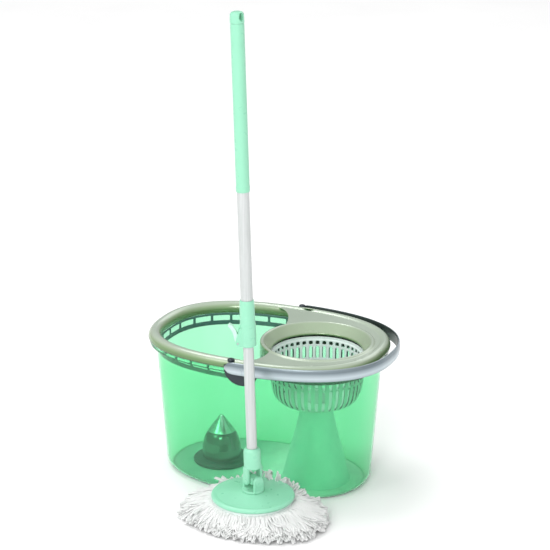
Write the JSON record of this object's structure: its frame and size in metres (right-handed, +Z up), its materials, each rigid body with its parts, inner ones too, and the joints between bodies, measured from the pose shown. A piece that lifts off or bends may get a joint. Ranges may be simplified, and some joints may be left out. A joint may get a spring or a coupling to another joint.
{
  "type": "spin mop",
  "caption": "Oval bucket with a spinning wringer basket, wash pivot and swinging bail, beside a round yarn mop on a swivel joint with a telescopic push-to-spin handle.",
  "frame": {"origin": "on the floor, at the middle of the bucket's flat base", "axes": "+Z up, +X along the bucket from the wash pivot towards the basket, +Y from the mop towards the bucket"},
  "size_m": [0.4825, 0.5111, 0.944],
  "materials": {
    "clear_green": "translucent, glossy",
    "khaki": "satin moulded plastic",
    "dark": "satin moulded plastic",
    "silver": "silver-grey paint-like plastic",
    "white": "satin white plastic",
    "milky": "milky translucent",
    "mint": "satin moulded plastic",
    "steel": "bright drawn tube",
    "chrome": "polished",
    "yarn": "looped microfibre yarn",
    "nylon": "natural nylon"
  },
  "bodies": {
    "bucket": {"bucket_tub": "clear_green", "rim_frame": "khaki", "splash_skirt": "dark", "hinge_boss_front": "dark", "hinge_boss_back": "dark", "pedestal_cone": "milky", "basket_spindle": "steel", "wash_pivot_base": "dark", "wash_pivot_pin": "steel"},
    "bail": {"bail_handle": "silver", "bail_pin_front": "dark", "bail_pin_back": "dark"},
    "basket": {"spin_basket": "white", "basket_hub": "white", "spindle_bush": "nylon", "hub_cap": "white"},
    "wash_pivot": {"wash_pivot_dome": "chrome", "wash_pivot_cone": "chrome"},
    "mop_head": {"mop_plate": "mint", "refill_ring": "white", "mop_yarn": "yarn", "plate_fork": "mint"},
    "joint_cross": {"joint_cross": "mint", "joint_pin_front": "mint", "joint_pin_rear": "mint", "joint_pin_left": "mint", "joint_pin_right": "mint"},
    "lower_pole": {"pole_socket": "mint", "lower_tube": "steel", "drive_nut": "nylon", "guide_bush": "nylon"},
    "slide_bush": {"slide_bush": "nylon"},
    "upper_pole": {"clamp_collar": "mint", "upper_tube": "steel", "grip_sleeve": "mint", "hang_cap": "mint", "twisted_rod": "steel", "rod_plug": "nylon", "lever_pin": "steel"},
    "lock_lever": {"lock_lever": "mint"}
  },
  "joints": [
    {"name": "bail_swing", "type": "hinge", "parent": "bucket", "child": "bail", "pos_m": [0.02, 0, 0.266], "axis": [0, -1, 0], "range_deg": [0, 120]},
    {"name": "basket_spin", "type": "hinge", "parent": "bucket", "child": "basket", "pos_m": [0.1, 0, 0.17], "axis": [0, 0, 1], "continuous": true},
    {"name": "wash_pivot_spin", "type": "hinge", "parent": "bucket", "child": "wash_pivot", "pos_m": [-0.1, 0, 0.03], "axis": [0, 0, 1], "continuous": true},
    {"name": "mop_push", "type": "slide", "parent": "bucket", "child": "mop_head", "axis": [0, 1, 0], "range_m": [-0.3, 0]},
    {"name": "joint_tip", "type": "hinge", "parent": "mop_head", "child": "joint_cross", "pos_m": [0.07, -0.2225, 0.082], "axis": [0.8829, -0.4695, 0], "range_deg": [-12, 45]},
    {"name": "joint_roll", "type": "hinge", "parent": "joint_cross", "child": "lower_pole", "pos_m": [0.07, -0.2225, 0.082], "axis": [0.4693, 0.8826, 0.0262], "range_deg": [-20, 45]},
    {"name": "handle_slide", "type": "slide", "parent": "lower_pole", "child": "slide_bush", "axis": [-0.0304, -0.0135, 0.9994], "range_m": [-0.185, 0.28]},
    {"name": "handle_turn", "type": "hinge", "parent": "slide_bush", "child": "upper_pole", "pos_m": [0.07, -0.2225, 0.082], "axis": [-0.0304, -0.0135, 0.9994], "range_deg": [-668, 1010]},
    {"name": "lever_swing", "type": "hinge", "parent": "upper_pole", "child": "lock_lever", "pos_m": [0.04502, -0.23361, 0.34754], "axis": [0.4065, -0.9137, 0], "range_deg": [0, 95]}
  ],
  "couplings": [
    {"joint": "handle_turn", "follows": "handle_slide", "rad_per_m": 62.832}
  ]
}
